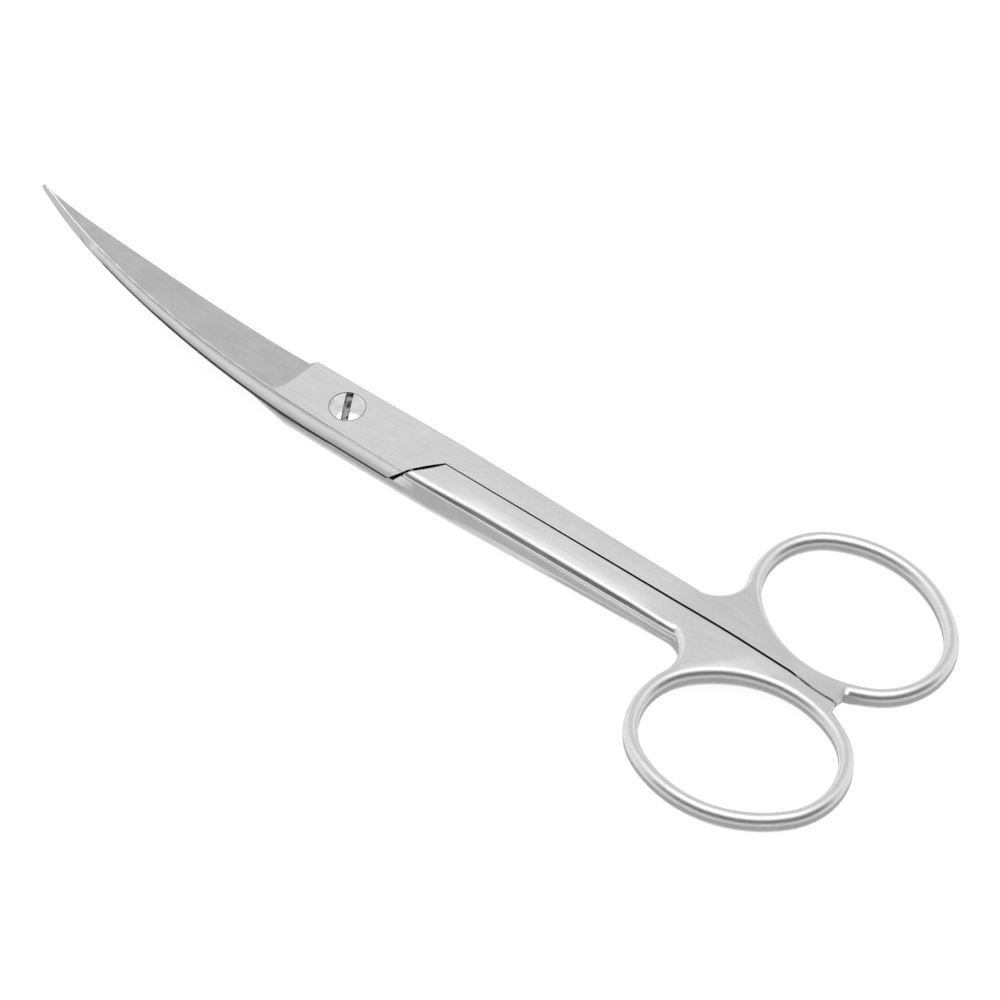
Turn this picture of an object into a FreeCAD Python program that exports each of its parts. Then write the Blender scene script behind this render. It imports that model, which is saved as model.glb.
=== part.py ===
import FreeCAD, Part
import math
import os
import re
import Sketcher

# Dressing scissors with curved blades, a lap joint on a pivot screw, and two finger rings.
# Millimetres. X runs from the tips (minus) to the rings (plus). Z is the pivot axis.
# The origin lies on the underside of the joint, below the pivot.
# Within each piece, heights are counted from the plane where the halves meet.
# The lower half is the upper half turned half a turn about X, but both blades curve up.

doc = FreeCAD.newDocument("dressing_scissors")
sheet = doc.addObject("Spreadsheet::Sheet", "Sizes")

sizes = {
    # Lap joint. Front is the blade side, rear the shank side, half the height of one half.
    # Spine is the back of the blade, edge the cutting side, base the height of the lap.
    "joint_front": 7.8,
    "joint_rear": 16.4,
    "joint_half": 2.95,
    "joint_gap": 0.04,
    "spine_top_front": 3.85,
    "spine_top_rear": 4.5,
    "spine_base_front": 4.57,
    "spine_base_rear": 4.95,
    "edge_top_front": 3.75,
    "edge_top_rear": 3.9,
    "edge_base": 4.57,
    "shoulder_side": 12.6,
    "shoulder_radius": 27,
    "shoulder_gap": 0.2,
    "undercut_front": 9.3,
    "undercut_side": 3.2,
    "toe_front": 11.1,
    "toe_back": 12.45,
    # Shank
    "shank_end": 54,
    "shank_end_half": 2.39,
    "shank_end_top": 3.25,
    "shank_end_width": 4.23,
    "shank_round": 1.05,
    "shank_fade": 3,
    "centre_gap": 0.16,
    # Finger ring and the web that carries it
    "ring_x": 73,
    "ring_y": 12.89,
    "ring_tilt": 10.1,
    "hole_length": 26.3,
    "hole_width": 19.9,
    "hole_end_radius": 8.3,
    "bar_width": 2.08,
    "bar_height": 3.15,
    "bar_round": 1,
    "neck_radius": 4.1,
    "web_start": 50,
    "web_end": 79.2,
    "web_width": 3.7,
    # The web thins from the shank's height to the ring's along this direction.
    "slope_turn": 50,
    "slope_start": 37,
    "slope_end": 50,
    # Blade
    "blade_tip": 52.2,
    "bend_start": 2,
    "bend_change": 43.2,
    "bend_radius": 120.2,
    "tip_bend_radius": 33.8,
    "blade_gap": 0.3,
    "blade_taper": 0.047,
    "point_power": 3.35,
    "tip_half": 0.18,
    "tip_ridge": 1.4,
    "tip_height": 0.3,
    "tip_power": 14,
    "tip_start": 0.86,
    "edge_land": 0.35,
    "ridge_land": 0.2,
    "grind_hollow": 0.15,
    "upper_runout": 2.2,
    "lower_runout": 5.5,
    # Pivot screw
    "head_diameter": 4.9,
    "head_height": 1.2,
    "head_dome": 0.25,
    "bearing_diameter": 3.4,
    "thread_diameter": 2.8,
    "running_gap": 0.03,
    "thread_gap": 0.02,
    "head_gap": 0.06,
    "slot_width": 1,
    "slot_depth": 0.8,
    "slot_turn": 118,
}

for row, (alias, value) in enumerate(sizes.items(), start=1):
    sheet.set(f"A{row}", alias)
    sheet.set(f"B{row}", str(value))
    sheet.setAlias(f"B{row}", alias)
doc.recompute()

# How far a cutting tool or a piece of stock runs past the face that it shapes.
spare = 1.0
bladeSteps = 6


def bound(expression):
    """The expression with the sheet's name before each size."""
    return re.sub(r"[a-z]+_[a-z_]+", lambda word: f"Sizes.{word[0]}", str(expression))


def measure(expression):
    return float(sheet.evalExpression(bound(expression)))


def originPlane(body, role):
    return next(feature for feature in body.Origin.OriginFeatures if feature.Role == role)


def newSketch(body, name, role, offset="0"):
    sketch = body.newObject("Sketcher::SketchObject", name)
    sketch.AttachmentSupport = [(originPlane(body, role), "")]
    sketch.MapMode = "FlatFace"
    sketch.setExpression("AttachmentOffset.Base.z", bound(offset))
    return sketch


def setDistance(sketch, constraint, name, expression):
    index = sketch.addConstraint(constraint)
    sketch.renameConstraint(index, name)
    sketch.setExpression(f"Constraints.{name}", bound(expression))


def arcBetween(start, end, radius, turn):
    """A sketch arc whose centre lies left of the way from start to end where turn is 1."""
    chord = end - start
    across = FreeCAD.Vector(-chord.y, chord.x, 0).normalize() * turn
    centre = (start + end) * 0.5 + across * math.sqrt(radius**2 - (chord.Length / 2) ** 2)
    first, last = (start, end) if turn > 0 else (end, start)
    angles = [math.atan2(point.y - centre.y, point.x - centre.x) for point in (first, last)]
    return Part.ArcOfCircle(Part.Circle(centre, FreeCAD.Vector(0, 0, 1), radius), *angles)


def drawOutline(sketch, points, arcs={}):
    """Close an outline through the points. arcs gives radius and turn of the side after a point."""
    first = sketch.GeometryCount
    count = len(points)
    corners = [FreeCAD.Vector(measure(x), measure(y), 0) for x, y in points]
    ends = []
    for index, corner in enumerate(corners):
        following = corners[(index + 1) % count]
        radius, turn = arcs.get(index, (None, 1))
        if radius is None:
            sketch.addGeometry(Part.LineSegment(corner, following))
        else:
            sketch.addGeometry(arcBetween(corner, following, measure(radius), turn))
        ends.append((1, 2) if turn > 0 else (2, 1))
    for index in range(count):
        following = (index + 1) % count
        sketch.addConstraint(Sketcher.Constraint(
            "Coincident", first + index, ends[index][1], first + following, ends[following][0]))
    for index, (x, y) in enumerate(points):
        geometry, end = first + index, ends[index][0]
        for kind, expression, value in (("X", x, corners[index].x), ("Y", y, corners[index].y)):
            constraint = Sketcher.Constraint(f"Distance{kind}", -1, 1, geometry, end, value)
            setDistance(sketch, constraint, f"{kind.lower()}{geometry}", expression)
    for index, (radius, turn) in arcs.items():
        constraint = Sketcher.Constraint("Radius", first + index, measure(radius))
        setDistance(sketch, constraint, f"radius{first + index}", radius)
    return sketch


def drawCircle(sketch, diameter):
    sketch.addGeometry(Part.Circle(FreeCAD.Vector(), FreeCAD.Vector(0, 0, 1), measure(diameter) / 2))
    sketch.addConstraint(Sketcher.Constraint("Coincident", 0, 3, -1, 1))
    setDistance(sketch, Sketcher.Constraint("Diameter", 0, measure(diameter)), "diameter", diameter)
    return sketch


def drawOval(sketch, margin):
    """Four tangent arcs at an even margin outside the finger hole's rim."""
    reach = "(hole_length / 2 - hole_end_radius)"
    sideRadius = (f"((hole_width ^ 2 / 4 + {reach} ^ 2 - hole_end_radius ^ 2)"
                  " / (hole_width - 2 * hole_end_radius))")
    span = f"({sideRadius} - hole_end_radius)"
    x = f"{reach} * ({sideRadius} + {margin}) / {span}"
    y = f"(hole_end_radius + {margin}) * ({sideRadius} - hole_width / 2) / {span}"
    end = (f"hole_end_radius + {margin}", 1)
    side = (f"{sideRadius} + {margin}", 1)
    return drawOutline(sketch, [(x, f"-{y}"), (x, y), (f"-{x}", y), (f"-{x}", f"-{y}")],
                       {0: end, 1: side, 2: end, 3: side})


def extrude(body, kind, name, sketch, length, side=0):
    """Pad or Pocket from the sketch: both ways where side is 0, else towards side along its normal."""
    feature = body.newObject(f"PartDesign::{kind}", name)
    feature.Profile = sketch
    feature.SideType = "Symmetric" if side == 0 else "One side"
    feature.setExpression("Length", bound(length))
    # A pocket runs against its sketch's normal unless it is reversed.
    feature.Reversed = side > 0 if kind == "Pocket" else side < 0
    return feature


def loft(body, kind, name, sections, ruled):
    feature = body.newObject(f"PartDesign::{kind}", name)
    feature.Profile = sections[0]
    feature.Sections = sections[1:]
    feature.Ruled = ruled
    return feature


def turned(points, side):
    """The points of a half's section, turned half a turn about X where side is -1."""
    return [(f"{side} * ({y})", f"{side} * ({z})") for y, z in points]


def between(front, rear, share):
    return f"({front}) + (({rear}) - ({front})) * ({share})"


def fillet(body, name, edges, radius):
    feature = body.newObject("PartDesign::Fillet", name)
    feature.Base = edges
    feature.setExpression("Radius", bound(radius))
    return feature


def edgesWhere(feature, test):
    edges = feature.Shape.Edges
    return (feature, [f"Edge{index}" for index, edge in enumerate(edges, start=1) if test(edge)])


def middle(edge):
    return edge.valueAt((edge.FirstParameter + edge.LastParameter) / 2)


def isUpright(edge):
    start, end = edge.Vertexes[0].Point, edge.Vertexes[-1].Point
    return abs(start.z - end.z) > spare and abs(start.x - end.x) + abs(start.y - end.y) < 0.01


def bordersWall(shape, edge):
    """Whether one of the faces at the edge is an upright wall."""
    for face in shape.ancestorsOfType(edge, Part.Face):
        low, high, left, right = face.ParameterRange
        if abs(face.normalAt((low + high) / 2, (left + right) / 2).z) < 0.01:
            return True
    return False


def isRim(shape, edge):
    """Whether the edge runs round the ring's plate, away from the shank and the centre line."""
    point = middle(edge)
    return (not isUpright(edge) and point.x > measure("web_start") + 0.01
            and abs(point.y) > measure("centre_gap / 2") + 0.01 and bordersWall(shape, edge))


def addWeb(body, side):
    """The web between shank, ring and centre line, with its rounded neck."""
    sketch = newSketch(body, "web_outline", "XY_Plane")
    drawOutline(sketch, [
        ("web_start", f"{side} * centre_gap / 2"),
        ("web_end", f"{side} * centre_gap / 2"),
        ("ring_x + hole_length / 4", f"{side} * (ring_y - hole_width / 2)"),
        ("ring_x - hole_length / 4", f"{side} * ring_y"),
        ("ring_x - hole_length / 4", f"{side} * web_width"),
        ("web_start", f"{side} * web_width"),
    ])
    web = extrude(body, "Pad", "web", sketch, "2 * shank_end_half")
    doc.recompute()
    width, start = measure("web_width"), measure("web_start")
    neck = edgesWhere(web, lambda edge: isUpright(edge) and middle(edge).x > start + spare
                      and abs(abs(middle(edge).y) - width) < 0.01)
    fillet(body, "neck", neck, "neck_radius")


def addRing(body, side):
    """The finger ring and the web that carries it, as one plate with rounded edges."""
    for kind, name, margin in (("Pad", "ring_disc", "bar_width"), ("Pocket", "finger_hole", "0")):
        sketch = newSketch(body, f"{name}_outline", "XY_Plane")
        turn = FreeCAD.Rotation(FreeCAD.Vector(0, 0, 1), -side * measure("ring_tilt"))
        sketch.AttachmentOffset = FreeCAD.Placement(FreeCAD.Vector(), turn)
        sketch.setExpression("AttachmentOffset.Base.x", bound("ring_x"))
        sketch.setExpression("AttachmentOffset.Base.y", bound(f"{side} * ring_y"))
        drawOval(sketch, margin)
        extrude(body, kind, name, sketch, "2 * shank_end_half")
        if kind == "Pad":
            addWeb(body, side)
    thinRing(body, side)
    doc.recompute()
    plate = body.Tip.Shape
    fillet(body, "rounding", edgesWhere(body.Tip, lambda edge: isRim(plate, edge)), "bar_round")
    doc.recompute()


def thinRing(body, side):
    """Both faces run down in an S of two equal arcs from the shank's height to the bar's."""
    drop = "(shank_end_half - bar_height / 2)"
    radius = f"((slope_end - slope_start) ^ 2 + {drop} ^ 2) / (4 * {drop})"
    sketch = newSketch(body, "slope_outline", "XZ_Plane")
    turn = FreeCAD.Rotation(FreeCAD.Vector(0, 1, 0), side * measure("slope_turn"))
    sketch.AttachmentOffset = FreeCAD.Placement(FreeCAD.Vector(), turn)
    far = "ring_x + ring_y + hole_length"
    for way in (1, -1):
        drawOutline(sketch, [
            ("slope_start", f"{way} * shank_end_half"),
            ("(slope_start + slope_end) / 2", f"{way} * (shank_end_half + bar_height / 2) / 2"),
            ("slope_end", f"{way} * bar_height / 2"),
            (far, f"{way} * bar_height / 2"),
            (far, f"{way} * shank_end_half * 2"),
            ("slope_start", f"{way} * shank_end_half * 2"),
        ], {0: (radius, -way), 1: (radius, way)})
    extrude(body, "Pocket", "slope", sketch, "4 * ring_x")


def crossSection(body, name, place, points, side, arcs={}):
    """A section of one half, across X at the given place."""
    sketch = newSketch(body, name, "YZ_Plane", place)
    return drawOutline(sketch, turned(points, side), arcs)


def addShank(body, side):
    """The bar along the centre line: the edge side of the joint, then the shank to the web."""
    frontShare = "joint_front / (joint_front + joint_rear)"
    stations = [
        ("0", "joint_half", between("edge_top_front", "edge_top_rear", frontShare), "edge_base"),
        ("joint_rear", "joint_half", "edge_top_rear", "edge_base"),
        ("shank_end", "shank_end_half", "shank_end_top", "shank_end_width"),
        ("shank_end + shank_fade", "shank_end_half - centre_gap", "shank_end_top - centre_gap",
         "shank_end_width - centre_gap"),
    ]
    sections = []
    for number, (place, half, top, width) in enumerate(stations):
        sections.append(crossSection(body, f"shank_section_{number}", place, [
            ("centre_gap / 2", half),
            ("centre_gap / 2", f"-({half})"),
            (f"({width}) - shank_round", f"-({half})"),
            (width, f"shank_round - ({half})"),
            (width, "0"),
            (top, half),
        ], side, {2: ("shank_round", 1)}))
    loft(body, "AdditiveLoft", "shank", sections, True)
    # The other half's block lies in front of the shoulder, on the far side of the lap.
    sketch = newSketch(body, "lap_recess_outline", "XY_Plane", f"{side} * joint_gap / 2")
    far = "joint_half * 2"
    drawOutline(sketch, [
        ("joint_rear + shoulder_gap", f"{side} * centre_gap / 2"),
        ("shoulder_side + shoulder_gap", f"{side} * spine_top_rear"),
        ("shoulder_side + shoulder_gap", f"{side} * {far}"),
        (f"-{far}", f"{side} * {far}"),
        (f"-{far}", f"{side} * centre_gap / 2"),
    ], {0: ("shoulder_radius", side)})
    extrude(body, "Pocket", "lap_recess", sketch, far, -side)
    # A slanted toe at the foot of the shoulder reaches under the other half's block.
    sketch = newSketch(body, "toe_outline", "XZ_Plane", f"-{side} * undercut_side")
    drawOutline(sketch, [
        ("toe_front", f"{side} * joint_gap / 2"),
        ("toe_back", f"-{side} * (joint_half - shank_round)"),
        ("joint_rear", f"-{side} * (joint_half - shank_round)"),
        ("joint_rear", f"{side} * joint_gap / 2"),
    ])
    extrude(body, "Pad", "toe", sketch, "edge_base - undercut_side", -side)


def addBlock(body, side):
    """The spine side of the joint, half the height of the shank, up to the curved shoulder."""
    frontShare = "joint_front / (joint_front + joint_rear)"
    stations = [
        ("0", between("spine_top_front", "spine_top_rear", frontShare),
         between("spine_base_front", "spine_base_rear", frontShare)),
        ("joint_rear + shoulder_gap", "spine_top_rear", "spine_base_rear"),
    ]
    sections = []
    for number, (place, top, base) in enumerate(stations):
        sections.append(crossSection(body, f"block_section_{number}", place, [
            ("centre_gap / 2", "joint_gap / 2"),
            ("centre_gap / 2", "joint_half"),
            (f"-({top})", "joint_half"),
            (f"-({base})", "joint_gap / 2"),
        ], side))
    loft(body, "AdditiveLoft", "block", sections, True)
    sketch = newSketch(body, "shoulder_outline", "XY_Plane")
    far = "joint_half * 2"
    drawOutline(sketch, [
        ("shoulder_side", f"-{side} * spine_top_rear"),
        ("joint_rear", f"{side} * centre_gap / 2"),
        (f"joint_rear + {far}", f"{side} * centre_gap / 2"),
        (f"joint_rear + {far}", f"-{side} * {far}"),
        ("shoulder_side", f"-{side} * {far}"),
    ], {0: ("shoulder_radius", -side)})
    extrude(body, "Pocket", "shoulder", sketch, far, side)
    # Under the shoulder's outer corner the wall slants forward.
    sketch = newSketch(body, "undercut_outline", "XZ_Plane", f"{side} * undercut_side")
    drawOutline(sketch, [
        ("undercut_front", "0"),
        ("shoulder_side", f"{side} * joint_half"),
        (f"shoulder_side + {far}", f"{side} * joint_half"),
        (f"shoulder_side + {far}", "0"),
    ])
    extrude(body, "Pocket", "undercut", sketch, far, side)


def rise(distance):
    """How high the meeting face of the blades stands at a distance from the pivot axis."""
    lean = "((bend_change - bend_start) / bend_radius)"
    upright = f"(1 - {lean} ^ 2) ^ 0.5"
    if measure(distance) <= measure("bend_change"):
        return f"(bend_radius - (bend_radius ^ 2 - (({distance}) - bend_start) ^ 2) ^ 0.5)"
    along = f"(({distance}) - bend_change + tip_bend_radius * {lean})"
    return (f"(bend_radius - (bend_radius - tip_bend_radius) * {upright}"
            f" - (tip_bend_radius ^ 2 - {along} ^ 2) ^ 0.5)")


def stockSection(body, name, place, side, height, ridge, spineTop, spineBase, edgeTop, edgeBase):
    """A section of the unground blade, with spare stock past the meeting face."""
    points = [
        (f"-({spineBase})", f"-{spare}"),
        (f"-({spineBase})", "0"),
        (f"-({spineTop})", ridge),
        (edgeTop, ridge),
        (edgeBase, "0"),
        (edgeBase, f"-{spare}"),
    ]
    lifted = [(y, f"({height}) + {side} * ({z})") for y, z in points]
    sketch = newSketch(body, name, "YZ_Plane", f"-({place})")
    return drawOutline(sketch, [(f"{side} * ({y})", z) for y, z in lifted])


def bladeShape(share):
    """Place, rise, ridge height and half widths of the blade at a share of its length."""
    length = f"(blade_tip - joint_front) * ({share})"
    place = f"joint_front + {length}"
    fall = f"({share}) ^ tip_power"
    ridge = f"({between('joint_half', 'tip_ridge', share)}) * (1 - {fall}) ^ 0.5 + tip_height * {fall}"
    draw = f"({share}) ^ point_power"
    widths = [
        f"{base} - blade_taper * {length}"
        f" - ({base} - blade_taper * (blade_tip - joint_front) - tip_half) * {draw}"
        for base in ("spine_base_front", "edge_base")
    ]
    return place, rise(place), ridge, *widths


def spineTop(spine, ridge):
    return f"({spine}) - (spine_base_front - spine_top_front) / joint_half * ({ridge})"


def addBlade(body, side):
    """Stock in front of the pivot, then the curved and tapered blade, ground hollow on top."""
    share = "joint_front / (joint_front + joint_rear)"
    edgeLean = "(edge_base - edge_top_front) / joint_half"
    root = stockSection(
        body, "blade_root", "0", side, "0", "joint_half",
        between("spine_top_front", "spine_top_rear", share),
        between("spine_base_front", "spine_base_rear", share),
        between("edge_top_front", "edge_top_rear", share), "edge_base")
    # The sections stand evenly up to the tip and then ever closer.
    spacing = [f"tip_start * {number} / {bladeSteps}" for number in range(bladeSteps + 1)]
    spacing += [between("tip_start", "1", part) for part in (0.4, 0.7, 0.9, 1)]
    sections = []
    for number, share in enumerate(spacing):
        place, height, ridge, spine, edge = bladeShape(share)
        sections.append(stockSection(
            body, f"blade_section_{number}", place, side, height, ridge,
            spineTop(spine, ridge), spine, f"({edge}) - ({edgeLean}) * ({ridge})", edge))
    loft(body, "AdditiveLoft", "blade_front", [root, sections[0]], True)
    loft(body, "AdditiveLoft", "blade", sections[:bladeSteps + 1], False)
    loft(body, "AdditiveLoft", "blade_tip", sections[bladeSteps:], True)
    # The wheel runs out in a ramp in front of the joint, first at the edge, then at the ridge.
    first = f"{'upper' if side > 0 else 'lower'}_runout / (blade_tip - joint_front)"
    ramp = [groundSection(body, f"runout_section_{number}", side, f"{first} * {part}",
                          round(1 - (1 - part) ** 2, 4), part)
            for number, part in enumerate((0, 0.33, 0.67, 1))]
    loft(body, "SubtractiveLoft", "grind_runout", ramp, False)
    ground = [groundSection(body, f"ground_section_{number}", side, between(first, "1", share), 1, 1)
              for number, share in enumerate(spacing)]
    loft(body, "SubtractiveLoft", "hollow_grind", ground[:bladeSteps + 1], False)
    loft(body, "SubtractiveLoft", "tip_grind", ground[bladeSteps:], True)


def groundSection(body, name, side, share, reach, depth):
    """What the wheel takes off the outer face: all above a shallow arc from ridge to edge.

    reach and depth, both up to 1, tell how far the cut has come to the ridge and down the edge.
    """
    place, height, ridge, spine, edge = bladeShape(share)
    start = (between(f"({edge}) - edge_land", f"ridge_land - ({spineTop(spine, ridge)})", reach), ridge)
    end = (edge, between(ridge, "edge_land", depth))
    chord = f"((({end[0]}) - ({start[0]})) ^ 2 + (({end[1]}) - ({start[1]})) ^ 2)"
    hollow = f"(grind_hollow * ({chord}) ^ 0.5 / (2 * edge_base))"
    radius = f"{chord} / (8 * {hollow}) + {hollow} / 2"
    points = [
        start,
        end,
        (f"({edge}) + {spare}", end[1]),
        (f"({edge}) + {spare}", f"({ridge}) + {spare}"),
        (start[0], f"({ridge}) + {spare}"),
    ]
    sketch = newSketch(body, name, "YZ_Plane", f"-({place})")
    return drawOutline(sketch, [(f"{side} * ({y})", f"({height}) + {side} * ({z})") for y, z in points],
                       {0: (radius, 1)})


def trimMeetingFace(body, side):
    """Turn the meeting face about the pivot axis, so that the blades clear at every angle.

    The lower blade's face is bowed a little further, so that the closed blades
    stand apart between the joint and the tip.
    """
    reach = f"(blade_tip + {spare})"
    change = rise("bend_change")
    radius = "bend_radius"
    if side < 0:
        chord = f"((bend_change - bend_start) ^ 2 + {change} ^ 2)"
        bow = f"(bend_radius - (bend_radius ^ 2 - {chord} / 4) ^ 0.5 + blade_gap - joint_gap)"
        radius = f"{chord} / (8 * {bow}) + {bow} / 2"
    far = f"{rise(reach)} + 2 * {spare}" if side < 0 else f"2 * {spare}"
    sketch = newSketch(body, "meeting_outline", "XZ_Plane")
    drawOutline(sketch, [
        ("0", f"-{side} * ({far})"),
        ("0", f"{side} * joint_gap / 2"),
        ("-bend_start", f"{side} * joint_gap / 2"),
        ("-bend_change", f"{change} + {side} * joint_gap / 2"),
        (f"-{reach}", f"{rise(reach)} + {side} * joint_gap / 2"),
        (f"-{reach}", f"-{side} * ({far})"),
    ], {2: (radius, -1), 3: ("tip_bend_radius", -1)})
    groove = body.newObject("PartDesign::Groove", "meeting_face")
    groove.Profile = sketch
    groove.ReferenceAxis = (sketch, ["V_Axis"])
    groove.Midplane = True
    groove.Angle = 180


def cutHole(body, name, place, diameter, length, side):
    sketch = newSketch(body, f"{name}_outline", "XY_Plane", place)
    drawCircle(sketch, diameter)
    extrude(body, "Pocket", name, sketch, length, side)


def buildHalf(name, side):
    body = doc.addObject("PartDesign::Body", name)
    body.Label = name
    addRing(body, side)
    addShank(body, side)
    addBlock(body, side)
    addBlade(body, side)
    trimMeetingFace(body, side)
    if side > 0:
        cutHole(body, "bearing_hole", "0", "bearing_diameter + 2 * running_gap", "4 * joint_half", 0)
        cutHole(body, "head_seat", "joint_half + head_dome", "head_diameter + 2 * head_gap",
                "head_height + head_dome", -1)
    else:
        cutHole(body, "tapped_hole", "0", "thread_diameter + 2 * thread_gap", "4 * joint_half", 0)
    return body


def buildScrew():
    """A slotted screw: thread in the lower half, plain bearing and sunk head in the upper."""
    body = doc.addObject("PartDesign::Body", "pivot_screw")
    body.Label = "pivot_screw"
    sketch = newSketch(body, "screw_outline", "XZ_Plane")
    seat = "joint_half - head_height + joint_gap / 2"
    domeRadius = "((head_diameter / 2) ^ 2 + head_dome ^ 2) / (2 * head_dome)"
    drawOutline(sketch, [
        ("0", "-joint_half"),
        ("thread_diameter / 2", "-joint_half"),
        ("thread_diameter / 2", "-joint_gap / 2"),
        ("bearing_diameter / 2", "-joint_gap / 2"),
        ("bearing_diameter / 2", seat),
        ("head_diameter / 2", seat),
        ("head_diameter / 2", "joint_half"),
        ("0", "joint_half + head_dome"),
    ], {6: (domeRadius, 1)})
    turnedBlank = body.newObject("PartDesign::Revolution", "blank")
    turnedBlank.Profile = sketch
    turnedBlank.ReferenceAxis = (sketch, ["V_Axis"])
    turnedBlank.Angle = 360
    slot = newSketch(body, "slot_outline", "XY_Plane", "joint_half + head_dome")
    slot.AttachmentOffset = FreeCAD.Placement(
        FreeCAD.Vector(), FreeCAD.Rotation(FreeCAD.Vector(0, 0, 1), measure("slot_turn")))
    drawOutline(slot, [
        ("-head_diameter", "-slot_width / 2"),
        ("head_diameter", "-slot_width / 2"),
        ("head_diameter", "slot_width / 2"),
        ("-head_diameter", "slot_width / 2"),
    ])
    extrude(body, "Pocket", "slot", slot, "slot_depth", -1)
    return body


pieces = [buildHalf("upper_half", 1), buildHalf("lower_half", -1), buildScrew()]
for piece in pieces:
    piece.setExpression("Placement.Base.z", bound("joint_half"))
doc.recompute()

for item in doc.Objects:
    if "Invalid" in item.State or "Error" in item.State:
        raise RuntimeError(f"{item.Name}: {item.State}")
for piece in pieces:
    shape = piece.Shape
    if shape.isNull() or not shape.isValid() or len(shape.Solids) != 1:
        raise RuntimeError(f"{piece.Label}: no single valid solid")

os.makedirs("parts", exist_ok=True)
for piece in pieces:
    piece.Shape.exportStep(f"parts/{piece.Label}.step")
    print(piece.Label, "volume", round(piece.Shape.Volume, 1), "box", piece.Shape.BoundBox)
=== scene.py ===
import bmesh
import bpy
import math
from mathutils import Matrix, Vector


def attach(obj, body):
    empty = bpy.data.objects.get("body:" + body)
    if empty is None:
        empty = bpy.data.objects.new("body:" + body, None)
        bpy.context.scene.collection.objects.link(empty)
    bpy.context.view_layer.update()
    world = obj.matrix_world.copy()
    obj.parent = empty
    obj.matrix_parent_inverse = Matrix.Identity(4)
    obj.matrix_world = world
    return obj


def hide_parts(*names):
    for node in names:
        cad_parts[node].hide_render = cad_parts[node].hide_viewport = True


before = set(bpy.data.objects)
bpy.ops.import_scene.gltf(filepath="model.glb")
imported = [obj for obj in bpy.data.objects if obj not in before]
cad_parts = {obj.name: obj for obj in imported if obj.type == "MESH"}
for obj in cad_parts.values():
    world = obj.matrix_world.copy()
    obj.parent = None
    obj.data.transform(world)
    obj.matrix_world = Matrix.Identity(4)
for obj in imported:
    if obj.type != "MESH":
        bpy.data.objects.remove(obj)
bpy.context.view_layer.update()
print("frame loaded:", ", ".join(sorted(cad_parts)))

# metres throughout, in the frame of the part: +X to the rings, +Z up along the pivot


# small helpers

def grey(level):
    return (level, level, level, 1.0)


def clip(share):
    return min(max(share, 0.0), 1.0)


def soften(share):
    share = clip(share)
    return share * share * (3 - 2 * share)


def addObject(name, data):
    item = bpy.data.objects.new(name, data)
    bpy.context.scene.collection.objects.link(item)
    return item


def markMesh(mesh, name, domain, values):
    mesh.attributes.new(name, "FLOAT", domain).data.foreach_set("value", values)


class Tree:
    # a shader tree; each input is a value or the socket of another node
    def __init__(self, tree):
        self.tree = tree
        tree.nodes.clear()

    def add(self, kind, inputs=None, **settings):
        node = self.tree.nodes.new(kind)
        for name, value in settings.items():
            setattr(node, name, value)
        for name, value in (inputs or {}).items():
            socket = node.inputs[name]
            if isinstance(value, bpy.types.NodeSocket):
                self.tree.links.new(value, socket)
            else:
                socket.default_value = value
        return node

    def math(self, operation, *values):
        return self.add("ShaderNodeMath", dict(enumerate(values)), operation=operation).outputs[0]

    def rampUp(self, value, ends):
        inputs = {"Value": value, "From Min": ends[0], "From Max": ends[1]}
        return self.add("ShaderNodeMapRange", inputs, interpolation_type="SMOOTHSTEP").outputs["Result"]

    def mixColor(self, factor, first, second, blend="MIX"):
        inputs = {0: factor, 6: first, 7: second}
        return self.add("ShaderNodeMix", inputs, data_type="RGBA", blend_type=blend).outputs[2]

    def tint(self, factor, color, level):
        return self.mixColor(factor, color, self.mixColor(1.0, color, grey(level), "MULTIPLY"))

    def noise(self, place, scale, detail, roughness=0.5):
        inputs = {"Vector": place, "Scale": scale, "Detail": detail, "Roughness": roughness}
        return self.add("ShaderNodeTexNoise", inputs).outputs["Fac"]

    def mark(self, name):
        return self.add("ShaderNodeAttribute", attribute_name=name).outputs["Fac"]

    def bevel(self, radius):
        return self.add("ShaderNodeBevel", {"Radius": radius}, samples=6).outputs["Normal"]

    def bump(self, height, distance, strength, normal):
        inputs = {"Height": height, "Distance": distance, "Strength": strength, "Normal": normal}
        return self.add("ShaderNodeBump", inputs).outputs["Normal"]

    def metal(self, color, rough, normal):
        inputs = {"Base Color": color, "Roughness": rough, "Metallic": 1.0, "Normal": normal}
        shader = self.add("ShaderNodeBsdfPrincipled", inputs).outputs[0]
        self.add("ShaderNodeOutputMaterial", {"Surface": shader})


def startMaterial(name):
    material = bpy.data.materials.new(name)
    material.use_nodes = True
    return material, Tree(material.node_tree)


# steel

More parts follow.
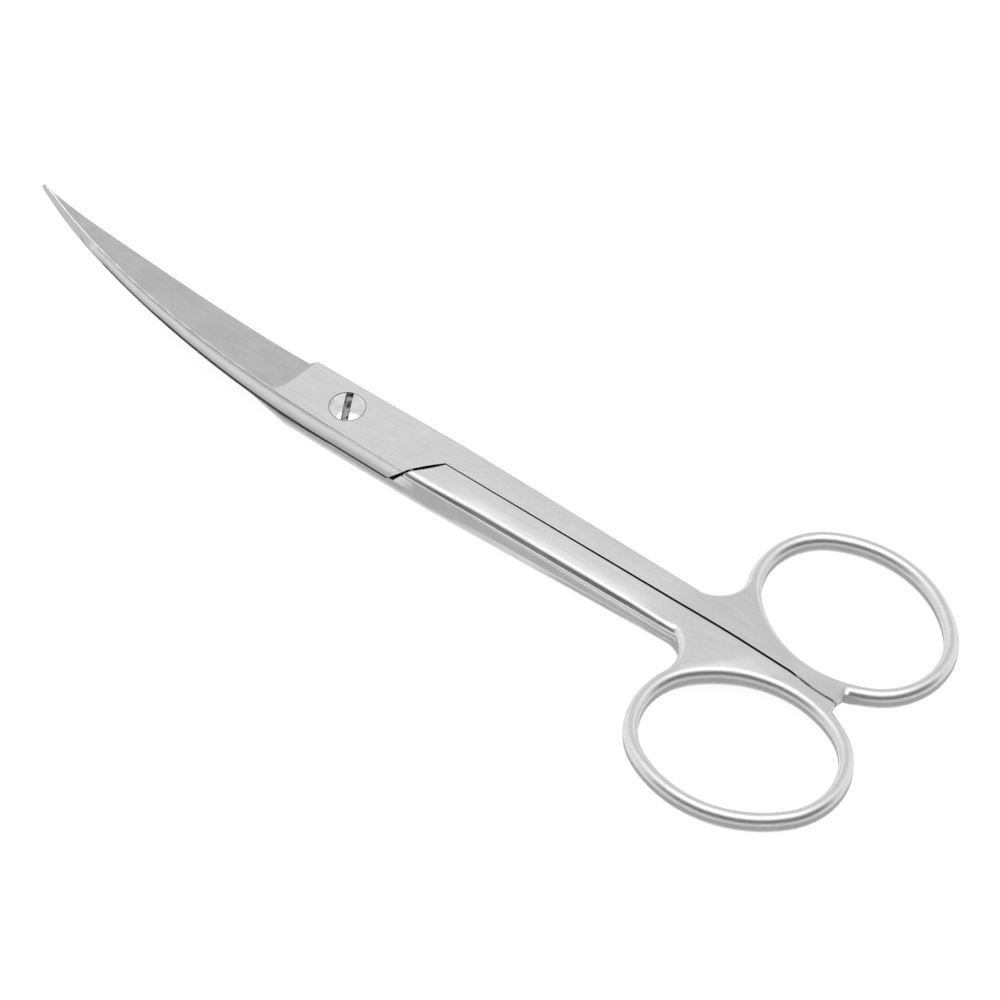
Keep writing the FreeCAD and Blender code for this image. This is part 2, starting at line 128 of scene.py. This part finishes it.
steelLook = {
    "flat": 0.585,                  # reflectance of the satin flats
    "side": 0.44,                   # of the upright sides, darker than the flats as painted shade
    "ringSide": 0.38,               # and of those of the rings, darker still as painted shade
    "hollow": 0.47,                 # of the hollow ground blade face, darker than the flats as painted shade
    "rim": 0.72,                    # of the rounded rims: brighter than the flats, partly polish and partly a painted highlight
    "seam": 0.20,                   # of the inner walls at joint and seam, painted dark as the shade in their narrow gaps
    "line": 0.03,                   # of the painted shadow line along the bottom of the side walls at the joint
    "flatFrom": (0.90, 0.995),      # a face turns flat between these upward shares of its normal
    "sideTo": (0.12, 0.45),         # and stops being a side between these
    "ringFrom": (0.050, 0.058),     # where along X web and rings begin
    "webTone": 0.88,                # their flats are a little darker than the shanks'
    "gapLine": 0.89,                # share of a wall's height where the painted shadow line of the joint starts
    "gapBlur": 0.015,
    "flatRoughness": 0.36,
    "rimRoughness": 0.32,
    "ringRoughness": 0.40,
    "sideRoughness": 0.46,
    "hollowRoughness": 0.42,
    "brushRoughness": 0.12,         # how much the brush marks change it
    "brushSpacing": 0.00018,
    "brushStretch": (0.04, 1.0, 0.4),
    "brushDepth": 0.000002,
    "brushRange": (0.25, 0.75),
    "brushTone": 1.12,
    "cloudScale": 260.0,            # soft haze, most of it on hollow and sides
    "cloudRange": (0.3, 0.7),
    "cloudTone": 0.91,
    "cloudLeast": 0.35,
    "speckScale": 5200.0,           # fine specks
    "speckRange": (0.45, 0.8),
    "speckTone": 0.90,
    "speckDepth": 0.5,              # their depth as a share of the brush marks'
    "edgeRadius": 0.00015,
    "crownFrom": 0.0012,            # the shanks' flats bow down from this distance beside the seam
    "crownFall": 46.0,              # and by this much of the distance squared
    "crownStart": (0.014, 0.026),   # between these places along X
    "crownEnd": (0.048, 0.056),
}


def makeSteel():
    look = steelLook
    material, t = startMaterial("satinSteel")
    place = t.add("ShaderNodeTexCoord").outputs["Object"]
    normal = t.add("ShaderNodeNewGeometry").outputs["Normal"]
    upward = t.math("ABSOLUTE", t.add("ShaderNodeSeparateXYZ", {0: normal}).outputs["Z"])
    at = t.add("ShaderNodeSeparateXYZ", {0: place}).outputs
    isFlat = t.rampUp(upward, look["flatFrom"])
    isSide = t.math("SUBTRACT", 1.0, t.rampUp(upward, look["sideTo"]))
    isRing = t.rampUp(at["X"], look["ringFrom"])
    isHollow = t.mark("hollowGround")
    isPaintedSeamShade = t.mark("paintedSeamShade")
    start, blur = look["gapLine"], look["gapBlur"]
    isPaintedShadowLine = t.rampUp(t.mark("paintedFootShadow"), (start - blur, start + blur))

    # brush marks run along X, so the noise is drawn out that way
    stretched = t.add("ShaderNodeMapping", {"Vector": place, "Scale": look["brushStretch"]}).outputs[0]
    brush = t.noise(stretched, 1.0 / look["brushSpacing"], 3.0, 0.6)
    cloud = t.noise(place, look["cloudScale"], 4.0, 0.55)
    speck = t.noise(place, look["speckScale"], 2.0)

    # the rounded rims are painted brighter than the flats, in part a painted highlight
    color = t.mixColor(isFlat, grey(look["rim"]), grey(look["flat"]))
    # upright sides, the rings' most of all, are painted darker as shade
    color = t.mixColor(isSide, color, t.mixColor(isRing, grey(look["side"]), grey(look["ringSide"])))
    # the hollow ground face is painted darker as shade
    color = t.mixColor(isHollow, color, grey(look["hollow"]))
    color = t.tint(t.rampUp(brush, look["brushRange"]), color, look["brushTone"])
    color = t.tint(t.math("MULTIPLY", isRing, isFlat), color, look["webTone"])
    hazy = t.math("MAXIMUM", t.math("MAXIMUM", isHollow, isSide), look["cloudLeast"])
    haze = t.math("MULTIPLY", t.rampUp(cloud, look["cloudRange"]), hazy)
    color = t.tint(haze, color, look["cloudTone"])
    color = t.tint(t.rampUp(speck, look["speckRange"]), color, look["speckTone"])
    # inner walls at joint and seam are painted dark as shade
    color = t.mixColor(isPaintedSeamShade, color, grey(look["seam"]))
    # painted shadow line along the foot of the walls where the halves meet
    color = t.mixColor(isPaintedShadowLine, color, grey(look["line"]))

    rim = look["rimRoughness"]
    rough = t.math("MULTIPLY_ADD", isFlat, look["flatRoughness"] - rim, rim)
    for part, name in ((isSide, "side"), (isHollow, "hollow"), (isRing, "ring")):
        rough = t.math("MAXIMUM", rough, t.math("MULTIPLY", part, look[name + "Roughness"]))
    grain = t.math("MULTIPLY", t.math("SUBTRACT", brush, 0.5), look["brushRoughness"])
    rough = t.math("ADD", rough, grain)

    beside = t.math("SUBTRACT", t.math("ABSOLUTE", at["Y"]), look["crownFrom"])
    beside = t.math("MAXIMUM", beside, 0.0)
    notRing = t.math("SUBTRACT", 1.0, t.rampUp(at["X"], look["crownEnd"]))
    onShank = t.math("MULTIPLY", t.rampUp(at["X"], look["crownStart"]), notRing)
    steep = t.math("MULTIPLY", onShank, -look["crownFall"])
    fall = t.math("MULTIPLY", t.math("MULTIPLY", beside, beside), steep)
    crown = t.bump(fall, 1.0, 1.0, t.bevel(look["edgeRadius"]))
    height = t.math("ADD", brush, t.math("MULTIPLY", speck, look["speckDepth"]))
    t.metal(color, rough, t.bump(height, look["brushDepth"], 0.5, crown))
    return material


screwLook = {
    "clean": 0.74,                  # reflectance of the polished steel
    "stained": 0.58,                # and of its stains
    "stainScale": 900.0,
    "stainRange": (0.35, 0.7),
    "stainDepth": 0.00002,
    "slotShade": 0.06,               # dark colour painted in the slot as shade
    "slotPatchTone": 0.36,               # and of the lighter patches in it
    "slotRange": (0.42, 0.58),
    "roughness": 0.10,
    "stainRoughness": 0.12,         # how much the stains add to it
    "edgeRadius": 0.00008,
}


def makePolished():
    look = screwLook
    material, t = startMaterial("polishedSteel")
    place = t.add("ShaderNodeTexCoord").outputs["Object"]
    stain = t.noise(place, look["stainScale"], 4.0)
    color = t.mixColor(t.rampUp(stain, look["stainRange"]), grey(look["clean"]), grey(look["stained"]))
    slotPatches = t.rampUp(stain, look["slotRange"])
    inSlot = t.mixColor(slotPatches, grey(look["slotShade"]), grey(look["slotPatchTone"]))
    # painted shade in the slot, broken by lighter patches
    color = t.mixColor(t.mark("paintedSlotShade"), color, inSlot)
    rough = t.math("MULTIPLY_ADD", stain, look["stainRoughness"], look["roughness"])
    t.metal(color, rough, t.bump(stain, look["stainDepth"], 0.3, t.bevel(look["edgeRadius"])))
    return material


satinSteel = makeSteel()
polishedSteel = makePolished()
print("steel made")


# the two halves; side is +1 for the upper one and -1 for the lower one

halfShape = {
    "middle": 0.00295,              # height of the plane where the halves meet
    "ringFrom": 0.056,              # the ring lies beyond this place along X
    "ringCentre": (0.073, 0.01289),
    "ringTilt": 10.1,
    "holeLength": 0.0263,
    "holeWidth": 0.0199,
    "holeEndRadius": 0.0083,
    "barWidth": 0.00208,
    "barHeight": 0.00315,
    "barReach": 1.01,               # what lies in this many half widths belongs to the bar
    "barCore": 0.6,                 # and outside this share of its section to its surface
    "barCrown": 1.25,               # how much rounder the bar shines than its oval section
    "webHeight": 0.00478,
    "slopeTurn": 50.0,              # the web thins along this direction
    "slopeStart": 0.037,
    "slopeEnd": 0.050,
    "turnFrom": -120.0,             # turns round the ring are counted from here
    "freeFrom": -50.0,              # the bar is free of the web between these turns
    "freeTo": 201.0,
    "freeFade": 11.0,
}

noseShape = {
    "start": 0.0715,                # here the web begins to sink between the rings
    "full": 0.0765,
    "end": 0.0793,
    "side": 0.0045,                 # its half width
    "left": 0.45,                   # share of the height left at the web's end
    "upright": 3.0,                 # how fast its shading turns to straight up
    "net": 0.0004,                  # spacing of the edges cut there
    "across": 20,                   # how many of them run across
    "along": 11,                    # and along
    "flat": 0.9,                    # the net is cut into faces as level as this
    "seam": 0.0002,                 # or as near to the middle line as this
    "snap": 0.00000005,
    "margin": (0.0002, 0.002),      # ahead and beside, where no faces are joined either
}

rimShape = {
    "gapRim": 0.00007,              # how far the rims of the lap are broken
    "gapSpan": (-0.008, 0.0090),
    "gapFrom": 0.002,
    "gapNear": 0.00003,
    "seamRim": 0.00009,             # and those of the seam between the shanks
    "seamFrom": 0.0168,
    "seamNear": 0.00009,
    "seamClear": 0.0006,
    "undercutFrom": 0.0031,         # the undercut lies beyond this distance from the middle line
    "undercutNear": 0.00004,
    "undercutTop": (0.0126, 0.01345),   # its upper edge as cut and as filed back to the shoulder
    "undercutRise": 0.0028,
    "undercutSlant": (0.0032, 0.52),
    "undercutFoot": (0.00932, 0.0102),
    "undercutFlush": 0.0001,
}


def aroundHole(x, y, side):
    # distance outside the rim of the finger hole, the way outward, and the turn round the ring
    turn = math.radians(halfShape["ringTilt"]) * side
    cos, sin = math.cos(turn), math.sin(turn)
    dx, dy = x - halfShape["ringCentre"][0], y - side * halfShape["ringCentre"][1]
    u, v = dx * cos - dy * sin, dx * sin + dy * cos
    end = halfShape["holeEndRadius"]
    reach = halfShape["holeLength"] / 2 - end
    wide = halfShape["holeWidth"] / 2
    long = (wide ** 2 + reach ** 2 - end ** 2) / (2 * (wide - end))
    drop = long - wide
    if abs(v) * reach < (abs(u) - reach) * drop:
        outU, outV, radius = math.copysign(abs(u) - reach, u), v, end
    else:
        outU, outV, radius = u, math.copysign(abs(v) + drop, v), long
    length = math.hypot(outU, outV)
    outU, outV = outU / length, outV / length
    out = Vector((outU * cos + outV * sin, outV * cos - outU * sin, 0.0))
    around = math.degrees(math.atan2(v * side, u))
    if around <= halfShape["turnFrom"]:
        around += 360.0
    return length - radius, out, around


def plateHalf(x, y, side):
    # half the height of web and ring at a place
    turn = math.radians(halfShape["slopeTurn"])
    along = x * math.cos(turn) + side * y * math.sin(turn)
    start, end = halfShape["slopeStart"], halfShape["slopeEnd"]
    share = clip((along - start) / (end - start))
    fall = 2 * share ** 2 if share < 0.5 else 1 - 2 * (1 - share) ** 2
    thick, thin = halfShape["webHeight"], halfShape["barHeight"]
    return (thick + (thin - thick) * fall) / 2


def isNetted(face, alongX):
    # whether the net of the nose is cut into this face
    xs = [vertex.co.x for vertex in face.verts]
    ys = [abs(vertex.co.y) for vertex in face.verts]
    ahead = max(xs) > noseShape["start"]
    wholly = not alongX or min(xs) > noseShape["start"] - noseShape["net"] / 2
    level = abs(face.normal.z) > noseShape["flat"] or max(ys) < noseShape["seam"]
    return ahead and wholly and min(ys) < noseShape["side"] and level


def cutNose(mesh, side):
    # a fine net of edges where the web runs out between the rings
    work = bmesh.new()
    work.from_mesh(mesh)
    start, net = noseShape["start"], noseShape["net"]
    cuts = [(Vector((1.0, 0.0, 0.0)), start + net * step) for step in range(noseShape["across"])]
    cuts += [(Vector((0.0, 1.0, 0.0)), side * net * step) for step in range(1, noseShape["along"] + 1)]
    for way, place in cuts:
        work.normal_update()
        faces = [face for face in work.faces if isNetted(face, alongX=way.y > 0)]
        parts = {part for face in faces for part in [face, *face.edges, *face.verts]}
        bmesh.ops.bisect_plane(work, geom=list(parts), plane_co=way * place, plane_no=way,
                               dist=noseShape["snap"])
    work.to_mesh(mesh)
    work.free()


def sinkNose(vertex, share):
    # beside the bar the web falls away softly; returns the way its ground face looks
    start, full, middle = noseShape["start"], noseShape["full"], halfShape["middle"]
    weight = soften((vertex.co.x - start) / (full - start))
    rise = vertex.co.z - middle
    vertex.co.z = middle + rise * (1.0 - weight * (1.0 - noseShape["left"]) * soften(share / 2))
    return Vector((0.0, 0.0, math.copysign(min(weight * noseShape["upright"], 1.0), rise)))


def roundBar(mesh, side):
    # the bar gets a full oval section, and so does the rim of the web round the hole
    half = halfShape["barWidth"] / 2
    aim = [Vector() for vertex in mesh.vertices]
    for vertex in mesh.vertices:
        x, y, z = vertex.co
        if x < halfShape["ringFrom"]:
            continue
        distance, out, around = aroundHole(x, y, side)
        offset = distance - half
        onNose = abs(y) < noseShape["side"] and noseShape["start"] < x < noseShape["end"]
        if offset > 0 and onNose:
            aim[vertex.index] = sinkNose(vertex, offset / half)
            continue
        if abs(offset) > half * halfShape["barReach"]:
            continue
        weight = 1.0
        if offset > 0:
            inside = min(around - halfShape["freeFrom"], halfShape["freeTo"] - around)
            weight = soften(inside / halfShape["freeFade"])
        rise = z - halfShape["middle"]
        tall = plateHalf(x, y, side)
        size = math.hypot(offset / half, rise / tall)
        if size < halfShape["barCore"]:
            continue
        grow = (1.0 / size - 1.0) * weight
        vertex.co += out * (offset * grow) + Vector((0.0, 0.0, rise * grow))
        lift = Vector((0.0, 0.0, halfShape["barCrown"] * rise / tall ** 2))
        aim[vertex.index] = (out * (offset / half ** 2) + lift).normalized() * weight
    layer = mesh.attributes.new("barAim", "FLOAT_VECTOR", "POINT")
    layer.data.foreach_set("vector", [value for item in aim for value in item])


def breakRims(mesh, side):
    # broken rims of lap and seam read as dark lines; the undercut is filed to the shoulder
    shape = rimShape
    topCut, topFiled = shape["undercutTop"]
    footCut, footFiled = shape["undercutFoot"]
    slantFrom, slant = shape["undercutSlant"]
    for vertex in mesh.vertices:
        x, y, z = vertex.co
        rise = (z - halfShape["middle"]) * side
        if y * side < -shape["undercutFrom"]:
            if rise > shape["undercutRise"] and abs(x - topCut) < shape["undercutNear"]:
                vertex.co.x = topFiled - (abs(y) - slantFrom) * slant
            if abs(rise) < shape["undercutFlush"] and abs(x - footCut) < shape["undercutNear"]:
                vertex.co.x = footFiled
        inLap = shape["gapSpan"][0] < x < shape["gapSpan"][1] and abs(y) > shape["gapFrom"]
        if inLap and abs(rise) < shape["gapNear"]:
            vertex.co.z += side * shape["gapRim"]
        atSeam = x > shape["seamFrom"] and abs(y) < shape["seamNear"]
        if atSeam and abs(rise) > shape["seamClear"]:
            vertex.co.y += side * shape["seamRim"]


# how the halves and the screw are shaded

edgeShape = {
    "weld": 0.000002,               # vertices as near as this are one
    "evenTurn": 0.2,               # neighbours that turn less, in degrees, become one face
    "sharpAbove": 24.0,             # a larger turn than this stays a crisp edge
    "sharpFlat": 0.15,              # and between ground flats one larger than this
    "sharpWall": 20.0,              # while between side walls smaller ones than this are smooth
    "largeFace": 0.000012,          # faces above this size are ground flat, square metres
    "wallFace": 0.0000004,          # and the smallest side wall
    "wallUp": 0.5,                  # its normal's largest upward and least sideways share
    "wallAcross": 0.75,
    "wallFrom": 0.0018,             # its least distance from the middle line
    "footTo": 0.0108,               # the painted shadow line of the joint ends here
    "footTurn": 0.5,                # and lies where the next face looks to the other half
    "crownTurn": 0.1,               # walls roll over where the next face looks this much up or down
    "crownTop": (21.0, 33.0),       # by these degrees at their upper edge, joint and shank
    "crownGrow": (0.014, 0.028),    # which change between these places along X
    "crownFoot": 9.0,               # and by these at their lower edge
    "webFrom": 0.05,
    "webLevel": 0.9,
    "webCalm": 0.3,                 # how much of the web's slope its sheen shows
    "webFade": 0.06,
    "runoutSpan": (-0.0135, -0.0075),
    "runoutLevel": 0.6,
    "runoutCalm": 0.35,             # and of the wheel's runout
}


def joinFlats(work):
    # level neighbours become one face, but not in the net of the nose
    ahead, beside = noseShape["margin"]
    start, width = noseShape["start"] - ahead, noseShape["side"] + beside
    kept = {vertex for vertex in work.verts if vertex.co.x > start and abs(vertex.co.y) < width}
    bmesh.ops.dissolve_limit(work, angle_limit=math.radians(edgeShape["evenTurn"]),
                             verts=[vertex for vertex in work.verts if vertex not in kept],
                             edges=[edge for edge in work.edges if not kept.intersection(edge.verts)])
    work.normal_update()


def isWall(face, area):
    # whether a face belongs to the long side walls of joint and shank
    centre = face.calc_center_median()
    upright = abs(face.normal.z) < edgeShape["wallUp"] and abs(face.normal.y) > edgeShape["wallAcross"]
    outside = abs(centre.y) > edgeShape["wallFrom"] and centre.x < halfShape["ringFrom"]
    return area > edgeShape["wallFace"] and upright and outside


def keepEdges(work, areas, walls):
    # the edges that stay crisp
    for edge in work.edges:
        faces = edge.link_faces
        turn = math.degrees(edge.calc_face_angle(0.0)) if len(faces) == 2 else 180.0
        allFlat = all(areas[face] > edgeShape["largeFace"] for face in faces)
        allWall = all(face in walls for face in faces)
        limit = edgeShape["sharpFlat"] if allFlat else edgeShape["sharpAbove"]
        edge.smooth = turn <= limit or (turn < edgeShape["sharpWall"] and allWall)


def smoothGroups(vertex):
    # the faces at a vertex, in groups that meet over smooth edges
    waiting = list(vertex.link_faces)
    while waiting:
        group, todo = [], [waiting.pop(0)]
        while todo:
            face = todo.pop()
            group.append(face)
            for edge in vertex.link_edges:
                if not edge.smooth or face not in edge.link_faces:
                    continue
                for other in edge.link_faces:
                    if other in waiting:
                        waiting.remove(other)
                        todo.append(other)
        yield group


def meanNormal(vertex, group, leading, areas):
    # leading faces count by their size; where there are none, all count by their angle
    total = Vector()
    if leading:
        for face in leading:
            total += face.normal * areas[face]
    else:
        for loop in (loop for face in group for loop in face.loops if loop.vert == vertex):
            total += loop.face.normal * loop.calc_angle()
    return total.normalized()


def rollOver(normal, x, heights):
    # the normal of a side wall, turned up or down where its edge rolls over
    lift = 0.0
    if max(heights, default=0.0) > edgeShape["crownTurn"]:
        low, high = edgeShape["crownTop"]
        start, end = edgeShape["crownGrow"]
        lift = math.tan(math.radians(low + (high - low) * clip((x - start) / (end - start))))
    elif min(heights, default=0.0) < -edgeShape["crownTurn"]:
        lift = -math.tan(math.radians(edgeShape["crownFoot"]))
    return Vector((normal.x, normal.y, normal.z + lift)).normalized()


def calmGround(normal, x):
    # the web's slope and the runout of the grinding show only a part of their tilt
    if x > edgeShape["webFrom"] and abs(normal.z) > edgeShape["webLevel"]:
        calm = edgeShape["webCalm"]
        share = calm + (1.0 - calm) * min((1.0 - abs(normal.z)) / edgeShape["webFade"], 1.0)
        normal = Vector((normal.x * share, normal.y * share, normal.z)).normalized()
    start, end = edgeShape["runoutSpan"]
    if start < x < end and abs(normal.z) > edgeShape["runoutLevel"]:
        normal = Vector((normal.x * edgeShape["runoutCalm"], normal.y, normal.z)).normalized()
    return normal


def shadeSteel(mesh, side):
    # ground flats stay even, curves run smooth, and side walls roll over towards their edges
    work = bmesh.new()
    work.from_mesh(mesh)
    joinFlats(work)
    areas = {face: face.calc_area() for face in work.faces}
    walls = {face for face in work.faces if isWall(face, areas[face])}
    keepEdges(work, areas, walls)
    normals, feet = {}, {}
    aimLayer = work.verts.layers.float_vector.get("barAim")
    for vertex in work.verts:
        x = vertex.co.x
        aim = vertex[aimLayer] if aimLayer else Vector()
        for group in smoothGroups(vertex):
            flats = [face for face in group if areas[face] > edgeShape["largeFace"]]
            upright = [face for face in group if face in walls]
            normal = meanNormal(vertex, group, flats or upright, areas)
            if upright and all(face in walls for face in flats):
                heights = [face.normal.z - normal.z for face in vertex.link_faces if face not in walls]
                away = min(heights, default=0.0) if side > 0 else -max(heights, default=0.0)
                # the foot of a wall that meets the other half gets the painted shadow line of the joint
                if x < edgeShape["footTo"] and away < -edgeShape["footTurn"]:
                    feet.update({(face, vertex): 1.0 for face in upright})
                normal = rollOver(normal, x, heights)
            normal = calmGround(normal, x)
            if aim.length > 0.0:
                normal = (normal * (1.0 - aim.length) + aim).normalized()
            for face in group:
                normals[(face, vertex)] = tuple(normal)
    corners = [(face, loop.vert) for face in work.faces for loop in face.loops]
    custom = [normals[corner] for corner in corners]
    foot = [feet.get(corner, 0.0) for corner in corners]
    for face in work.faces:
        face.smooth = True
    work.to_mesh(mesh)
    work.free()
    mesh.normals_split_custom_set(custom)
    markMesh(mesh, "paintedFootShadow", "CORNER", foot)


def refine(node, name, body, material, side=0):
    # a finer copy of the solid: welded, dressed and shaded as ground steel
    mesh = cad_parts[node].data.copy()
    mesh.name = name
    work = bmesh.new()
    work.from_mesh(mesh)
    bmesh.ops.remove_doubles(work, verts=work.verts, dist=edgeShape["weld"])
    work.to_mesh(mesh)
    work.free()
    if side:
        cutNose(mesh, side)
        roundBar(mesh, side)
        breakRims(mesh, side)
    mesh.materials.clear()
    mesh.materials.append(material)
    shadeSteel(mesh, side)
    piece = addObject(name, mesh)
    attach(piece, body)
    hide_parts(node)
    return piece


groundShape = {
    "hollowTo": -0.0077,            # the hollow lies in front of this, looks outward and is tilted
    "hollowOut": 0.6,
    "hollowTilt": (-0.06, 0.03),
    "innerUp": 0.75,                # inner walls look up or down by less than this
    "shoulderSpan": (0.0095, 0.0172),
    "shoulderAlong": 0.3,
    "seamFrom": 0.0165,
    "seamNear": 0.00025,
}


def markGround(piece, side):
    # the wheel's face, painted darker as shade, and inner walls that only show as dark lines, painted
    # dark as shade: shoulder, undercut and seam
    shape = groundShape
    tiltX, tiltY = shape["hollowTilt"]
    hollow, inner = [], []
    for polygon in piece.data.polygons:
        x, y, z = polygon.center
        normal = polygon.normal
        tilted = normal.y * side > tiltY or normal.x < tiltX * side
        hollow.append(float(x < shape["hollowTo"] and normal.z * side > shape["hollowOut"] and tilted))
        inSpan = shape["shoulderSpan"][0] < x < shape["shoulderSpan"][1]
        shoulder = inSpan and abs(normal.x) > shape["shoulderAlong"]
        seam = x > shape["seamFrom"] and abs(y) < shape["seamNear"]
        inner.append(float(abs(normal.z) < shape["innerUp"] and (shoulder or seam)))
    markMesh(piece.data, "hollowGround", "FACE", hollow)
    markMesh(piece.data, "paintedSeamShade", "FACE", inner)


upperHalf = refine("upper_half", "upperHalf", "upper", satinSteel, 1)
lowerHalf = refine("lower_half", "lowerHalf", "lower", satinSteel, -1)
markGround(upperHalf, 1)
markGround(lowerHalf, -1)
print("halves made:", len(upperHalf.data.polygons), len(lowerHalf.data.polygons))


# the screw

screwShape = {
    "domeLook": 2.0,                # how much rounder the head shines than it stands
    "headFrom": 0.0049,             # height where the head begins
    "domeFrom": 0.0058,             # and its dome
    "domeLevel": 0.9,
    "slotReach": 0.00235,           # the slot's walls lie within this radius
}


def dressHead(piece):
    # the head is rounder than it is high, and its slot is painted dark as shade
    shape, mesh = screwShape, piece.data
    normals, slot = [], []
    for polygon in mesh.polygons:
        height = polygon.center.z
        top = height > shape["headFrom"]
        dome = top and polygon.normal.z > shape["domeLevel"] and height > shape["domeFrom"]
        slot.append(float(top and not dome and polygon.center.xy.length < shape["slotReach"]))
        spread = shape["domeLook"] if dome else 1.0
        for index in polygon.loop_indices:
            normal = mesh.corner_normals[index].vector
            normal = Vector((normal.x * spread, normal.y * spread, normal.z)).normalized()
            normals.append(tuple(normal))
    mesh.normals_split_custom_set(normals)
    markMesh(mesh, "paintedSlotShade", "FACE", slot)


pivotScrew = refine("pivot_screw", "pivotScrew", "lower", polishedSteel)
dressHead(pivotScrew)
print("screw made:", len(pivotScrew.data.polygons))


# studio

studio = {
    "floorColor": 0.25,
    "floorGlow": 0.88,              # what camera and mirrors see of it; it lights nothing
    "floorHalf": 4.0,
    "floorDrop": 0.0002,
    "skyLight": 0.60,
    "boxSize": 0.65,
    "boxPlace": (0.05, -0.10, 0.75),
    "boxPower": 1.8,
    "flagRadius": 0.9,
    "flagHeight": 0.80,
    "flagSteps": 24,
    "flagMiddle": -53.0,            # its turn about Z, and how far it reaches to each side of that
    "flagReach": 72.0,
    "flagColor": 0.10,
}


def seenRays(t):
    # 1 for what camera, mirrors and glass see, 0 for what only lights
    path = t.add("ShaderNodeLightPath").outputs
    either = t.math("MAXIMUM", path["Is Camera Ray"], path["Is Glossy Ray"])
    return t.math("MAXIMUM", either, path["Is Transmission Ray"])


def addStage(name, verts, faces, material):
    mesh = bpy.data.meshes.new(name)
    mesh.from_pydata(verts, [], faces)
    mesh.materials.append(material)
    return addObject(name, mesh)


def addFloor():
    material, t = startMaterial("whiteSweep")
    strength = t.math("MULTIPLY", seenRays(t), studio["floorGlow"])
    paper = t.add("ShaderNodeBsdfDiffuse", {"Color": grey(studio["floorColor"])}).outputs[0]
    glow = t.add("ShaderNodeEmission", {"Color": grey(1.0), "Strength": strength}).outputs[0]
    both = t.add("ShaderNodeAddShader", {0: paper, 1: glow}).outputs[0]
    t.add("ShaderNodeOutputMaterial", {"Surface": both})
    half = studio["floorHalf"]
    verts = [(-half, -half, 0), (half, -half, 0), (half, half, 0), (-half, half, 0)]
    floor = addStage("studioFloor", verts, [(0, 1, 2, 3)], material)
    floor.location.z = -studio["floorDrop"]


def addFlag():
    # a dark cloth round the camera side, low down, which draws the dark lines on rounded steel
    material, t = startMaterial("blackCloth")
    cloth = t.add("ShaderNodeBsdfDiffuse", {"Color": grey(studio["flagColor"])}).outputs[0]
    t.add("ShaderNodeOutputMaterial", {"Surface": cloth})
    radius, steps = studio["flagRadius"], studio["flagSteps"]
    middle, reach = math.radians(studio["flagMiddle"]), math.radians(studio["flagReach"])
    verts = []
    for step in range(steps + 1):
        angle = middle - reach + 2 * reach * step / steps
        for z in (0.0, studio["flagHeight"]):
            verts.append((radius * math.cos(angle), radius * math.sin(angle), z))
    faces = [(2 * i, 2 * i + 2, 2 * i + 3, 2 * i + 1) for i in range(steps)]
    flag = addStage("darkFlag", verts, faces, material)
    flag.visible_camera = False


def lightStudio():
    world = bpy.data.worlds.new("studioSky")
    bpy.context.scene.world = world
    world.use_nodes = True
    t = Tree(world.node_tree)
    light = studio["skyLight"]
    strength = t.math("MULTIPLY_ADD", seenRays(t), 1.0 - light, light)
    sky = t.add("ShaderNodeBackground", {"Color": grey(1.0), "Strength": strength}).outputs[0]
    t.add("ShaderNodeOutputWorld", {"Surface": sky})

    box = bpy.data.lights.new("softBox", "AREA")
    box.shape = "SQUARE"
    box.size = studio["boxSize"]
    box.energy = studio["boxPower"]
    lamp = addObject("softBox", box)
    lamp.location = studio["boxPlace"]
    lamp.rotation_euler = (-lamp.location).to_track_quat("-Z", "Y").to_euler()


cameraView = {
    "place": (0.27283, -0.32942, 0.51467),
    "azimuth": 36.9,
    "elevation": 51.055,
    "lens": 179.04,
    "sensor": 36.0,
    "clipStart": 0.01,
}


def addCamera():
    data = bpy.data.cameras.new("photoCamera")
    data.lens = cameraView["lens"]
    data.sensor_width = cameraView["sensor"]
    data.clip_start = cameraView["clipStart"]
    camera = addObject("photoCamera", data)
    camera.location = cameraView["place"]
    tilt, turn = math.radians(90.0 - cameraView["elevation"]), math.radians(cameraView["azimuth"])
    camera.rotation_euler = (tilt, 0.0, turn)
    bpy.context.scene.camera = camera


addFloor()
addFlag()
lightStudio()
addCamera()
bpy.context.scene.view_settings.view_transform = "Standard"
print("studio ready")
